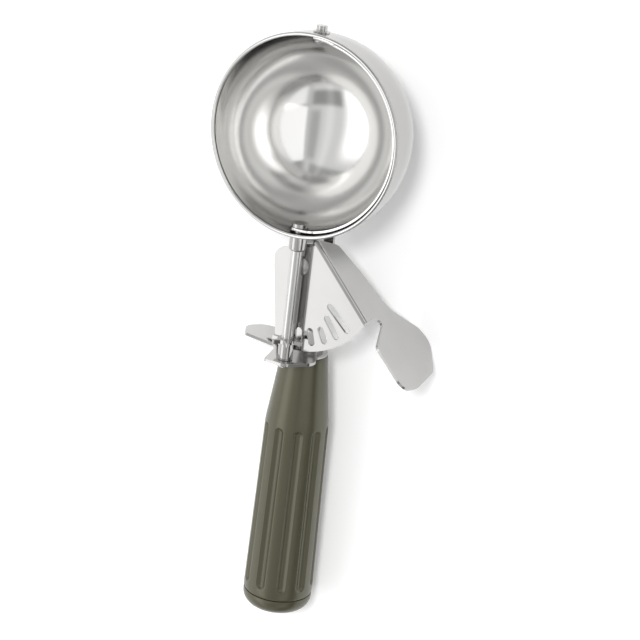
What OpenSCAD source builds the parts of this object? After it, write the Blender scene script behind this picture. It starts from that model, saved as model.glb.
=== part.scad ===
// Thumb-lever ice cream scoop. Origin: centre of the bowl's sphere, on the scraper's axis.
// +Z points out of the bowl's mouth, +Y to the bowl's tip, and the handle runs towards -Y.

/* [Bowl] */
// Inside radius of the bowl
bowl_r = 35.3; // [30:0.1:40]
// Thickness of the bowl's wall
bowl_wall = 0.8; // [0.6:0.1:1.2]
// Height of the straight skirt above the sphere's centre
skirt_h = 6.1; // [4:0.1:8]
// Radius of the rolled bead round the rim
bead_r = 0.65; // [0.5:0.05:0.8]
// Radius of the rivet on which the scraper's upper tab turns
pin_r = 1.6; // [1.2:0.1:2]
// Radius of the rivet's button outside the bowl
pin_button_r = 1.95; // [1.9:0.05:2.6]
// Height of the rivet's button above the wall
pin_button_h = 2.4; // [1.5:0.1:3]
// Radius of the flange under the button
pin_flange_r = 2.9; // [2.7:0.1:3.6]
// Thickness of the flange under the button
pin_flange_t = 0.5; // [0.3:0.1:1]
// Radius of the rivet's head inside the bowl
pin_head_r = 2.5; // [2.4:0.1:3]
// Thickness of the rivet's head and of the washer under it
pin_head_t = 0.8; // [0.5:0.1:1.2]

/* [Scraper] */
// Width of the scraper's band
blade_w = 10; // [8:0.5:12]
// Thickness of the scraper's band
blade_t = 0.9; // [0.6:0.1:1.2]
// Radius of the tabs at the band's ends
tab_r = 3.3; // [3:0.1:4]
// Distance from the axis at which the tabs have widened to the full band
tab_len = 9; // [7:0.5:12]
// Gap between the scraper and the bowl
blade_gap = 0.5; // [0.3:0.1:0.8]
// Radius of the nut that holds the scraper on its shaft
nut_r = 2.9; // [2.6:0.1:3.4]
// Height of that nut
nut_h = 1.5; // [1:0.1:2]

/* [Shaft] */
// Radius of the scraper shaft
shaft_r = 2.2; // [2.1:0.05:2.3]
// Radius of the shaft's journal in the bushing
journal_r = 1.6; // [1.4:0.05:1.8]
// Distance across the flats that drive the scraper
flats_w = 2.5; // [2.3:0.1:2.7]
// Radius of the bushing below the bowl
bushing_r = 3.2; // [2.6:0.1:3.4]
// Length of the bushing below the bowl
bushing_len = 6.2; // [5:0.1:7]
// Chamfer round the bushing's lower end
bushing_edge = 0.6; // [0.3:0.1:0.8]
// Length of the shaft from the bushing to the finger plate
shaft_len = 41.8; // [40.6:0.1:45]
// Length of the shaft's end below the finger plate
shaft_tail = 1.7; // [1.6:0.1:3]
// Chamfer round the shaft's lower end
shaft_edge = 0.4; // [0.2:0.1:0.5]
// Radius of the retaining ring and of the washer above it
ring_r = 2.8; // [2.7:0.1:3.4]
// Thickness of the retaining ring
ring_t = 0.6; // [0.4:0.1:0.8]
// Thickness of the washer under the finger plate
washer_t = 0.4; // [0.3:0.1:0.6]

/* [Pinion] */
// Pitch radius of the star pinion
pinion_pitch_r = 4.85; // [4.7:0.05:5]
// Radius of the teeth's tips
pinion_tip_r = 6.2; // [6:0.05:6.3]
// Radius of the disc that carries the teeth
pinion_disc_r = 3.5; // [3.3:0.1:3.7]
// Width of a tooth at its root
tooth_root_w = 1.8; // [1.5:0.1:2]
// Width of a tooth at its tip
tooth_tip_w = 1.1; // [0.9:0.05:1.2]
// Thickness of the pinion
pinion_t = 1.5; // [1:0.1:1.7]
// Radius of the pinion's hub, which stands on the finger plate
hub_r = 2.75; // [2.7:0.05:3.2]
// Height of the pinion's middle above the finger plate
pinion_lift = 7.3; // [7:0.1:9]

/* [Lever] */
// Thickness of the lever's sheet
lever_t = 1; // [0.8:0.1:1.2]
// Width of the sector outside its pitch circle
sector_lip = 4.6; // [4.4:0.1:5]
// Width of sheet left outside the slots
rim_w = 2.15; // [1.8:0.05:3]
// Angle from the middle of the sector to its left edge, at the outer arc
heel_angle = 12.2; // [11:0.1:14]
// How far the left edge leans out towards its top
heel_lean = 7.2; // [4:0.1:10]
// Height of the lever's heel above its pivot
heel_h = 4.2; // [3.6:0.1:5.4]
// Radius of the heel's corner
heel_r = 4.5; // [2:0.1:5]
// Slope of the lever's top edge
top_slope = 21; // [15:1:28]
// Angle of the fold line from the handle's direction
fold_angle = 42.4; // [40:0.1:45]
// Distance from the pivot to the fold line
fold_offset = 11.2; // [10.6:0.1:12]
// Inside radius of the fold
fold_r = 0.6; // [0.4:0.1:1]
// Play between a tooth's tip and each side of a slot
slot_play = 0.75; // [0.7:0.05:0.85]
// Radius of the middle of a short slot's inner end
slot_inner_r = 24.5; // [24:0.1:25]
// How much further in each of the last two slots reaches
slot_step = 3; // [2:0.1:3.5]
// Depth of the flange below the plate at the fold's upper end
flange_top_d = 10.3; // [9:0.1:12]
// Depth of the flange below the plate near the pad
flange_low_d = 17; // [15:0.1:18]
// Width of the thumb pad, along the fold
pad_w = 26; // [22:0.5:30]
// Height of the thumb pad
pad_h = 35.6; // [30:0.5:38]
// How far the pad stands in front of the plate
pad_lead = 3.9; // [2:0.1:4.5]
// Gap from the sector's corner to the pad
pad_neck = 3.4; // [2.5:0.1:5]

/* [Pivot and spring] */
// Radius of the lever's pivot rivet
pivot_r = 2; // [1.5:0.1:2.5]
// Radius of the pivot rivet's heads
pivot_head_r = 3.6; // [3.4:0.1:4]
// Height of the pivot rivet's heads
pivot_head_t = 0.9; // [0.6:0.1:1]
// Thickness of the washer under the front head
pivot_washer_t = 0.3; // [0.2:0.05:0.4]
// Radius of the spacer round the pivot
spacer_r = 3; // [2.8:0.1:3.4]
// Radius of the spring's wire
wire_r = 0.55; // [0.4:0.05:0.6]
// Number of turns in the spring
spring_turns = 4; // [3:1:5]
// Gap between the spring's turns and the spacer
coil_gap = 0.6; // [0.4:0.1:0.9]
// Gap between neighbouring turns
turn_gap = 0.35; // [0.2:0.05:0.5]
// Gap between the spring and the back of the lever
spring_gap = 0.7; // [0.5:0.1:1]
// Angle between the spring's arm and the lever's flange
arm_angle = 30; // [25:1:40]
// Length of the arm's end that lies along the flange
arm_end = 3; // [2:0.5:5]
// Length of the spring's foot on the finger plate
foot_run = 5.4; // [4.5:0.1:6]

/* [Frame] */
// Width of the upright's foot
foot_w = 8.4; // [8:0.2:10]
// Width of the frame's upright, from the pivot up
upright_w = 12.8; // [10:0.2:13.4]
// Thickness of the frame's upright
upright_t = 1.6; // [1.2:0.1:2]
// Depth of the handle's axis below the bowl's centre
handle_drop = 16.8; // [16:0.1:18]
// Width of the lever's rest stop
stop_w = 5; // [4:0.5:6]
// Gap between the rest stop and the back of the lever
stop_gap = 1.2; // [0.8:0.1:2]
// Radius inside the bend that lays the upright on the bowl
bend_r = 3; // [2:0.5:4]
// Angle round the bowl at which the upright ends
saddle_angle = 62; // [50:1:70]
// Thickness of the finger plate
plate_t = 1.2; // [1:0.1:1.6]
// Reach of the plate's tongue in front of the shaft's axis
tongue_front = 5.2; // [4.5:0.1:6]
// Reach of the tongue's round corner to the right
tongue_x = 10.8; // [8:0.1:12]
// Reach of the finger rest to the left
wing_x = 28.6; // [25:0.1:32]
// Depth of the finger rest's far edge below the bowl's centre
wing_z = 28.6; // [27:0.1:32]
// Depth of the finger rest's outer corner below the bowl's centre
wing_side_z = 23; // [21:0.1:25]
// Radius of the finger rest's outer corner
wing_side_r = 5; // [3:0.1:6]
// Width of the tang inside the handle
tang_w = 8; // [6:0.5:8]
// Length of the tang inside the handle
tang_len = 55; // [40:1:70]

/* [Handle] */
// Radius of the handle's top
grip_top_r = 8.7; // [8.4:0.1:9.6]
// Radius of the handle at its shoulder
grip_shoulder_r = 12; // [11:0.1:13]
// Radius of the handle near its end
grip_end_r = 13.4; // [12.6:0.1:14]
// Length of the tapered neck above the shoulder
grip_neck_len = 27.4; // [22:0.2:32]
// Length of the grip from its top to the end cap
grip_len = 97.9; // [90:0.1:110]
// Number of flutes round the grip
flute_count = 10; // [8:1:12]
// Turn of the first flute from the front of the grip
flute_turn = -6; // [-18:1:18]
// Radius of a flute's section
flute_r = 2.1; // [1.6:0.1:2.3]
// Depth of a flute
flute_depth = 1.15; // [0.6:0.05:1.4]
// Distance from the shoulder to the flutes' upper ends
flute_start = 2; // [0:0.5:12]
// Distance from the flutes' lower ends to the end cap
flute_stop = 5.5; // [4:0.5:10]
// Thickness of the steel ferrule on the handle's top
ferrule_t = 0.8; // [0.6:0.1:1.6]
// Radius of the ferrule
ferrule_r = 8.5; // [8:0.1:9]
// Length of the end cap
cap_len = 6.6; // [5:0.1:9]
// Radius of the cap's rounded edge
cap_round = 5; // [3:0.1:5]
// Radius of the spigot that holds the cap in the handle
spigot_r = 8; // [6:0.1:9]
// Length of the spigot
spigot_len = 6; // [4:0.5:10]

/* [Clearances] */
// Radial play of a turning pin in its hole
turn_play = 0.05; // [0.03:0.01:0.08]
// Play between faces that slide past each other
slide_play = 0.1; // [0.05:0.05:0.15]
// Play between pieces that are assembled and stay put
fit_play = 0.03; // [0.02:0.01:0.05]
// Gap between a piece and the stop that it rests on
stop_play = 0.25; // [0.2:0.05:0.4]
// Room inside the handle beyond the tang's end
tang_room = 1; // [0.5:0.1:2]

/* [Hidden] */
$fn = 96;

// The teeth of the pinion, and the slots that a full circle of the sector would hold
pinion_teeth = 6;
sector_steps = 34;
slot_count = 6;
slot_pitch = 360 / sector_steps;

// Places along the handle's direction
bowl_out = bowl_r + bowl_wall;
bushing_y = -(bowl_out + bushing_len);
plate_y = bushing_y - shaft_len;
pinion_y = plate_y + pinion_lift;
sector_r = pinion_pitch_r * sector_steps / pinion_teeth;
pivot_y = pinion_y + sector_r;
ferrule_y = plate_y - plate_t;
grip_y = ferrule_y - ferrule_t;
shoulder_y = grip_y - grip_neck_len;
cap_y = grip_y - grip_len;

// Places across the handle's direction
lever_z = -pinion_pitch_r;
lever_front = lever_z + lever_t / 2;
lever_back = lever_z - lever_t / 2;
upright_front = -handle_drop + upright_t / 2;
upright_back = upright_front - upright_t;

// The scraper
blade_out = bowl_r - blade_gap;
blade_in = blade_out - blade_t;

// The slots
slot_w = tooth_tip_w + 2 * slot_play;
sector_out = sector_r + sector_lip;
slot_outer_r = sector_out - rim_w - slot_w / 2;

// The fold, in the frame of the pivot: its normal, its direction and its upper end
fold_n = [cos(fold_angle), sin(fold_angle)];
fold_d = [sin(fold_angle), -cos(fold_angle)];
bend_out = fold_r + lever_t;
heel_foot = sector_out * [-sin(heel_angle), -cos(heel_angle)];
heel_top = heel_foot + (heel_h - heel_foot.y) * [-tan(heel_lean), 1];
// Where the top edge's slope from the heel meets the fold line
top_run = (fold_offset - heel_top * fold_n) / (fold_n * [cos(top_slope), sin(top_slope)]);
fold_top = heel_top + top_run * [cos(top_slope), sin(top_slope)];
// The fold ends where the outer arc crosses it
fold_len = sqrt(sector_out * sector_out - fold_offset * fold_offset) + fold_d * -fold_top;

// The spring
spring_front = lever_back - spring_gap - wire_r;
coil_r = spacer_r + coil_gap + wire_r;
coil_pitch = 2 * wire_r + turn_gap;
// Where the spring's end goes through the finger plate, as [x, z]
anchor = [-15.2, -15.3];
// Steps of the spring's coil in one turn
coil_steps = 20;

steel = [0.80, 0.80, 0.81];
bright = [0.88, 0.88, 0.89];
grip_grey = [0.42, 0.41, 0.36];

function unit(v) = v / norm(v);

// Corner i of a path of [x, y, radius], as the points of its arc
function corner(path, i, n = 8) =
    let (count = len(path), here = path[i], p = [here.x, here.y])
    here[2] == 0 ? [p] :
    let (before = path[(i + count - 1) % count], after = path[(i + 1) % count],
         u = unit([before.x, before.y] - p), v = unit([after.x, after.y] - p),
         half = acos(u * v) / 2, middle = p + unit(u + v) * here[2] / sin(half),
         a = p + u * here[2] / tan(half) - middle, b = p + v * here[2] / tan(half) - middle,
         first = atan2(a.y, a.x), sweep = (atan2(b.y, b.x) - first + 540) % 360 - 180)
    [for (k = [0:n]) middle + here[2] * [cos(first + sweep * k / n), sin(first + sweep * k / n)]];

function rounded(path) = [for (i = [0:len(path) - 1]) each corner(path, i)];

// A cylinder along +Y that starts at y
module rod(y, h, r) {
    translate([0, y, 0]) rotate([-90, 0, 0]) cylinder(h = h, r = r);
}

// The solid of a sphere with a straight skirt above its middle
module cup(r, top) {
    rotate_extrude() {
        intersection() {
            circle(r);
            translate([0, -r]) square(r);
        }
        square([r, top]);
    }
}

// A double-D section: a round bar with two flats
module flatted(y, h, r, w) {
    intersection() {
        rod(y, h, r);
        translate([-w / 2, y, -r]) cube([w, h, 2 * r]);
    }
}

// A tube along a path of points, swept with eight sides and an end cap at each end
module wire(path, r, sides = 8) {
    count = len(path);
    // Directions of travel, and two normals that never turn over on these routes
    along = [for (i = [0:count - 1]) unit(path[min(i + 1, count - 1)] - path[max(i - 1, 0)])];
    first = [for (d = along) unit(cross(d, [0.12, 0.07, 1]))];
    second = [for (i = [0:count - 1]) cross(along[i], first[i])];
    points = [for (i = [0:count - 1]) for (k = [0:sides - 1])
        path[i] + r * (cos(360 * k / sides) * first[i] + sin(360 * k / sides) * second[i])];
    skin = [for (i = [0:count - 2]) for (k = [0:sides - 1])
        let (a = i * sides, b = a + sides, m = (k + 1) % sides) [a + k, b + k, b + m, a + m]];
    caps = [[for (k = [0:sides - 1]) k], [for (k = [sides - 1:-1:0]) (count - 1) * sides + k]];
    polyhedron(points, concat(skin, caps), convexity = 10);
}

// The bead rolled round the edge of the bowl's skirt
module rim_bead() {
    rotate_extrude() translate([bowl_out - bowl_wall / 2, skirt_h]) circle(bead_r, $fn = 32);
}

module bowl() {
    color(steel) difference() {
        union() {
            cup(bowl_out, skirt_h);
            rim_bead();
        }
        difference() {
            cup(bowl_r, skirt_h + 2 * bead_r);
            rim_bead();
        }
        rod(bowl_r - bowl_wall, 3 * bowl_wall, pin_r + fit_play);
        rod(-bowl_out - bowl_wall, 3 * bowl_wall, spigot_out + fit_play);
    }
}

// Radius of the part of the bushing that goes through the bowl's wall
spigot_out = journal_r + 0.6;

module top_pivot_pin() {
    color(bright) {
        difference() {
            union() {
                rod(bowl_r, bowl_wall + pin_button_h, pin_button_r);
                rod(bowl_r, bowl_wall + pin_flange_t, pin_flange_r);
            }
            cup(bowl_out, skirt_h + bowl_wall);
        }
        rod(blade_in - 2 * pin_head_t, bowl_out - blade_in + 2 * pin_head_t + pin_flange_t / 2, pin_r);
        // The inner head, domed like the button of a rivet
        intersection() {
            rod(blade_in - 2 * pin_head_t - slide_play, pin_head_t, pin_head_r);
            translate([0, blade_in - 2 * pin_head_t - slide_play + 2 * pin_head_r, 0])
                sphere(2 * pin_head_r);
        }
    }
}

module top_pin_washer() {
    color(bright) difference() {
        rod(blade_in - pin_head_t - slide_play, pin_head_t / 2, pin_head_r);
        rod(blade_in - 2 * pin_head_t, 2 * pin_head_t, pin_r + fit_play);
    }
}

module scraper_blade() {
    color(steel) difference() {
        intersection() {
            difference() {
                sphere(blade_out);
                sphere(blade_in);
            }
            // A band that narrows to round tabs over both ends of the axis
            translate([0, bowl_r, 0]) rotate([90, 0, 0]) linear_extrude(2 * bowl_r) {
                circle(tab_r);
                polygon([[0, -tab_r], [tab_len, -blade_w / 2], [bowl_r, -blade_w / 2],
                         [bowl_r, blade_w / 2], [tab_len, blade_w / 2], [0, tab_r]]);
            }
        }
        rod(blade_in - blade_t, 3 * blade_t, pin_r + turn_play);
        flatted(-blade_out - blade_t, 3 * blade_t, journal_r + fit_play, flats_w + 2 * fit_play);
    }
}

module blade_nut() {
    color(bright) difference() {
        intersection() {
            rod(-nut_seat_y, nut_h, nut_r);
            translate([0, -nut_seat_y - nut_r, 0]) sphere(2 * nut_r);
        }
        rod(-nut_seat_y - nut_h, 2 * nut_h - 0.4, journal_r + fit_play);
    }
}

// Where the nut sits: on the edge of the tab's hollow face
nut_seat_y = sqrt(blade_in * blade_in - nut_r * nut_r);

module scraper_shaft() {
    color(steel) {
        difference() {
            rod(plate_y - plate_t - shaft_tail, plate_t + shaft_tail + shaft_len - slide_play, shaft_r);
            // Groove of the retaining ring
            difference() {
                rod(ring_y, ring_t + 2 * fit_play, 2 * shaft_r);
                rod(ring_y - ring_t, 3 * ring_t, shaft_r - ring_t);
            }
            // Chamfer round the lower end
            translate([0, plate_y - plate_t - shaft_tail, 0]) rotate([-90, 0, 0]) difference() {
                cylinder(h = shaft_edge, r = 2 * shaft_r);
                cylinder(h = shaft_edge, r1 = shaft_r - shaft_edge, r2 = shaft_r);
            }
        }
        rod(bushing_y - 2 * slide_play, bushing_len + bowl_wall + slide_play, journal_r);
        flatted(bushing_y, -nut_seat_y - bushing_y + nut_h - 0.5, journal_r, flats_w);
    }
}

// The groove's lower face, under the finger plate and its washer
ring_y = plate_y - plate_t - washer_t - 2 * slide_play - ring_t - 2 * fit_play;

module shaft_bushing() {
    color(steel) difference() {
        union() {
            difference() {
                rod(bushing_y, bushing_len + bowl_wall / 2, bushing_r);
                cup(bowl_out, skirt_h + bowl_wall);
            }
            rod(bushing_y, bushing_len + bowl_wall, spigot_out);
        }
        rod(bushing_y - bushing_len, 3 * bushing_len, journal_r + turn_play);
        // Chamfer round the lower end
        translate([0, bushing_y, 0]) rotate([-90, 0, 0]) difference() {
            cylinder(h = bushing_edge, r = 2 * bushing_r);
            cylinder(h = bushing_edge, r1 = bushing_r - bushing_edge, r2 = bushing_r);
        }
    }
}

module star_pinion() {
    hub_len = pinion_lift - slide_play;
    color(bright) translate([0, pinion_y, 0]) rotate([-90, 0, 0]) difference() {
        union() {
            translate([0, 0, -hub_len]) cylinder(h = hub_len, r = hub_r);
            translate([0, 0, -pinion_t / 2]) linear_extrude(pinion_t) {
                circle(pinion_disc_r);
                // At rest a gap between two teeth faces the sector
                for (i = [0:pinion_teeth - 1]) rotate(90 + (i + 0.5) * 360 / pinion_teeth) {
                    polygon([[0, -tooth_root_w / 2], [pinion_disc_r, -tooth_root_w / 2],
                             [tooth_end, -tooth_tip_w / 2], [tooth_end, tooth_tip_w / 2],
                             [pinion_disc_r, tooth_root_w / 2], [0, tooth_root_w / 2]]);
                    translate([tooth_end, 0]) circle(tooth_tip_w / 2, $fn = 24);
                }
            }
        }
        translate([0, 0, -2 * hub_len]) cylinder(h = 3 * hub_len, r = shaft_r + fit_play);
    }
}

// Where a tooth's straight sides end and its round tip begins
tooth_end = pinion_tip_r - tooth_tip_w / 2;

module shaft_washer() {
    color(bright) difference() {
        rod(plate_y - plate_t - slide_play - washer_t, washer_t, ring_r);
        rod(plate_y - plate_t - slide_play - 2 * washer_t, 3 * washer_t, shaft_r + fit_play);
    }
}

// An E-clip: a ring with an open mouth, sprung into the shaft's groove
module shaft_retaining_ring() {
    color(bright) difference() {
        rod(ring_y + fit_play, ring_t, ring_r);
        rod(ring_y - ring_t, 3 * ring_t, shaft_r - ring_t + fit_play);
        translate([0, ring_y - ring_t, 0]) rotate([0, 40, 0])
            translate([-0.7 * shaft_r, 0, 0]) cube([1.4 * shaft_r, 3 * ring_t, 2 * ring_r]);
    }
}

// The sector's outline in the frame of the pivot
module sector_outline() {
    intersection() {
        circle(sector_out);
        polygon(rounded([
            [heel_top.x, heel_top.y, heel_r],
            [fold_top.x - bend_out * fold_n.x, fold_top.y - bend_out * fold_n.y, 0],
            [fold_top.x + 2 * fold_len * fold_d.x - bend_out * fold_n.x,
             fold_top.y + 2 * fold_len * fold_d.y - bend_out * fold_n.y, 0],
            [heel_foot.x, heel_foot.y - sector_out, 0],
            [heel_foot.x, heel_foot.y, 0]]));
    }
}

// Slot i, counted from the heel; the first two lie on either side of the shaft
module slot(i) {
    inner = slot_inner_r - slot_step * max(0, i - slot_count + 3);
    rotate((i - 0.5) * slot_pitch) {
        translate([0, -inner]) circle(slot_w / 2, $fn = 32);
        translate([0, -slot_outer_r]) circle(slot_w / 2, $fn = 32);
        translate([-slot_w / 2, -slot_outer_r]) square([slot_w, slot_outer_r - inner]);
    }
}

// The flange and the pad in their own plane: x along the fold, y the depth below the fold's tangent
module flange_outline() {
    pad_in = fold_len + pad_neck;
    pad_out = pad_in + pad_w;
    pad_top = -pad_lead;
    pad_low = pad_top + pad_h;
    notch = flange_low_d / 2 - 1;
    polygon(rounded([
        [0, 0, 0],
        [4.5, flange_top_d, 3],
        [0.5 * fold_len, flange_low_d - 2.6, 20],
        [fold_len - 1, flange_low_d + 1, 12],
        [pad_in + 0.30 * pad_w, pad_low - 1.5, 4],
        [pad_in + 0.56 * pad_w, pad_low + 0.8, 6],
        [pad_out - 1.5, pad_low - 9, 7],
        [pad_out + 0.2, pad_top + 0.25 * pad_h, 10],
        [pad_out - 1.8, pad_top + 0.5, 6],
        [pad_in + 6, pad_top - 0.3, 2.4],
        [pad_in - 0.6, notch + 1.6, 1.6],
        [fold_len - 0.3, notch - 2, 1],
        [fold_len, 0, 0]]));
}

// The fold's section, across the fold line: a quarter turn of the sheet, and a lap inside the plate
module fold_section() {
    intersection() {
        difference() {
            circle(bend_out);
            circle(fold_r);
        }
        square(bend_out);
    }
    translate([-lever_t, fold_r]) square(lever_t);
}

module thumb_lever() {
    color(steel) translate([0, pivot_y, 0]) {
        translate([0, 0, lever_back]) linear_extrude(lever_t) difference() {
            sector_outline();
            for (i = [0:slot_count - 1]) slot(i);
            circle(pivot_r + turn_play);
        }
        // From here x runs along the fold, y inwards from the flange's outer face
        translate([fold_top.x, fold_top.y, lever_front - bend_out]) rotate(fold_angle - 90) {
            translate([0, -bend_out, 0]) rotate([90, 0, 90]) linear_extrude(fold_len) fold_section();
            rotate([-90, 0, 0]) translate([0, 0, -lever_t]) linear_extrude(lever_t) flange_outline();
        }
    }
}

module lever_pivot_pin() {
    front = lever_front + slide_play + pivot_washer_t + slide_play;
    color(bright) translate([0, pivot_y, 0]) {
        translate([0, 0, upright_back - fit_play]) cylinder(h = front + fit_play - upright_back, r = pivot_r);
        // The front head is low and domed, to pass behind the shaft
        intersection() {
            translate([0, 0, front]) cylinder(h = pivot_head_t, r = pivot_head_r);
            translate([0, 0, front + pivot_head_t - 2 * pivot_head_r]) sphere(2 * pivot_head_r);
        }
        intersection() {
            translate([0, 0, upright_back - pivot_head_t]) cylinder(h = pivot_head_t, r = pivot_head_r);
            translate([0, 0, upright_back - pivot_head_t + 2 * pivot_head_r]) sphere(2 * pivot_head_r);
        }
    }
}

module lever_washer() {
    color(bright) translate([0, pivot_y, lever_front + slide_play]) difference() {
        cylinder(h = pivot_washer_t, r = pivot_head_r);
        translate([0, 0, -1]) cylinder(h = pivot_washer_t + 2, r = pivot_r + fit_play);
    }
}

module pivot_spacer() {
    color(steel) translate([0, pivot_y, upright_front]) difference() {
        cylinder(h = lever_back - slide_play - upright_front, r = spacer_r);
        translate([0, 0, -1]) cylinder(h = handle_drop, r = pivot_r + fit_play);
    }
}

// The torsion spring: one arm bears on the lever's flange, the other hooks over the finger plate
module return_spring() {
    seat = fold_offset - lever_t - stop_play - wire_r;
    // The arm leaves the coil on a tangent and lies along the flange at its end
    leave = fold_angle + arm_angle;
    run = (seat - coil_r * cos(arm_angle)) / sin(arm_angle);
    along = run * cos(arm_angle) - coil_r * sin(arm_angle);
    arm = [for (step = [arm_end, arm_end / 2, 0])
        concat(seat * fold_n + (along + step) * fold_d, spring_front)];
    // The tail leaves on the tangent that leads to the finger plate
    foot = [anchor.x + foot_run, plate_y - pivot_y + wire_r + fit_play];
    arrive = atan2(foot.y, foot.x) + 360 - acos(coil_r / norm(foot));
    sweep = arrive - leave + 360 * spring_turns;
    count = round(coil_steps * sweep / 360);
    coil = [for (k = [0:count]) let (a = leave + sweep * k / count)
        [coil_r * cos(a), coil_r * sin(a), spring_front - coil_pitch * sweep / 360 * k / count]];
    foot_z = anchor.y + 0.35 * foot_run;
    tail = [concat(foot + [0.2, 3], foot_z + 0.6), concat(foot + [0, 0.9], foot_z + 0.2),
            concat(foot - [0.9, 0], foot_z - 0.2), [anchor.x + 0.7, foot.y, anchor.y + 0.2],
            [anchor.x, foot.y - 0.7, anchor.y], [anchor.x, foot.y - wire_r - plate_t - 0.4, anchor.y]];
    color(bright) translate([0, pivot_y, 0]) wire(concat(arm, coil, tail), wire_r);
}

// The upright's side view, as [y, z]: a strip that bends back to lie along the bowl
module upright_side() {
    laid = bowl_out + upright_t;
    bend_z = upright_back - bend_r;
    bend_y = -sqrt((laid + bend_r) * (laid + bend_r) - bend_z * bend_z);
    from = atan2(-bend_z, -bend_y);
    far = 3 * laid;
    translate([plate_y, upright_back]) square([bend_y - plate_y, upright_t]);
    intersection() {
        translate([bend_y, bend_z]) difference() {
            circle(bend_r + upright_t);
            circle(bend_r);
        }
        polygon([[bend_y, bend_z], [bend_y, bend_z + far], [0, bend_z + far], [0, 0]]);
    }
    intersection() {
        difference() {
            circle(laid);
            circle(bowl_out);
        }
        polygon([[0, 0], far * [-cos(from), -sin(from)], far * [-cos(from + 20), -sin(from + 20)],
                 far * [-cos(saddle_angle), -sin(saddle_angle)]]);
    }
}

module frame_upright() {
    end_y = -bowl_out * cos(saddle_angle) - upright_w / 2;
    // The stop stands beside the inner corner of the lever's folded upper end
    stop_x = fold_top.x - lever_t * fold_n.x - stop_play;
    stop_y = pivot_y + fold_top.y - lever_t * fold_n.y;
    color(steel) difference() {
        union() {
            intersection() {
                multmatrix([[0, 0, 1, 0], [1, 0, 0, 0], [0, 1, 0, 0], [0, 0, 0, 1]])
                    translate([0, 0, -upright_w / 2]) linear_extrude(upright_w) upright_side();
                // Front view, with a round end on the bowl
                translate([0, 0, -2 * bowl_out]) linear_extrude(2 * bowl_out) {
                    polygon([[-foot_w / 2, plate_y], [foot_w / 2, plate_y], [upright_w / 2, pivot_y],
                             [upright_w / 2, end_y], [-upright_w / 2, end_y], [-upright_w / 2, pivot_y]]);
                    translate([0, end_y]) circle(upright_w / 2);
                }
            }
            // The tang, which passes through the finger plate into the handle
            translate([-tang_w / 2, grip_y - tang_len, upright_back])
                cube([tang_w, tang_len + ferrule_t + plate_t + upright_t, upright_t]);
            // The lever's rest stop, bent forward from the strip's edge
            translate([stop_x - upright_t, stop_y - stop_w / 2, upright_back])
                cube([upright_t, stop_w, lever_back - stop_gap - upright_back]);
        }
        translate([0, pivot_y, upright_back - 1]) cylinder(h = upright_t + 2, r = pivot_r + fit_play);
    }
}

// The finger plate: a tongue round the shaft, and a wing to the left for the forefinger
module finger_plate() {
    // Outline as [x, depth below the bowl's centre, corner radius]
    edge = rounded([
        [-6.2, 0.5 - tongue_front, 1.2],
        [2.4, -tongue_front, 4],
        [tongue_x, 4, 5],
        [tang_w / 2 + 1.8, handle_drop - 2.4, 3],
        [tang_w / 2 + 1.8, handle_drop + 4, 4],
        [0, wing_z, 6],
        [-wing_x + 5, wing_z, 4.5],
        [-wing_x - 0.4, wing_side_z, wing_side_r],
        [-wing_x + 3.6, 15.0, 2],
        [-11.4, 11.8, 0.7],
        [-8.6, 8.8, 0.8]]);
    color(steel) difference() {
        translate([0, plate_y, 0]) rotate([90, 0, 0]) linear_extrude(plate_t) mirror([0, 1]) polygon(edge);
        translate([anchor.x, 0, anchor.y]) rod(plate_y - 2 * plate_t, 3 * plate_t, wire_r + turn_play);
        rod(plate_y - 2 * plate_t, 3 * plate_t, shaft_r + turn_play);
        translate([-tang_w / 2 - fit_play, plate_y - 2 * plate_t, upright_back - fit_play])
            cube([tang_w + 2 * fit_play, 3 * plate_t, upright_t + 2 * fit_play]);
    }
}

// What the tang takes out of a piece of the handle
module tang_slot() {
    translate([-tang_w / 2 - fit_play, grip_y - tang_len - tang_room, upright_back - fit_play])
        cube([tang_w + 2 * fit_play, tang_len + ferrule_t + 2 * tang_room, upright_t + 2 * fit_play]);
}

// A round bar of the given length with a half sphere beyond each end
module capsule(length, r) {
    rotate_extrude($fn = 24) {
        square([r, length]);
        intersection() {
            union() {
                circle(r);
                translate([0, length]) circle(r);
            }
            translate([0, -r]) square([r, length + 2 * r]);
        }
    }
}

// Turns a profile of [radius, distance along +Y] about the handle's axis
module turned() {
    translate([0, 0, -handle_drop]) rotate([-90, 0, 0]) rotate_extrude() children();
}

module handle_ferrule() {
    color(steel) difference() {
        turned() translate([0, grip_y]) square([ferrule_r, ferrule_t]);
        tang_slot();
    }
}

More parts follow.
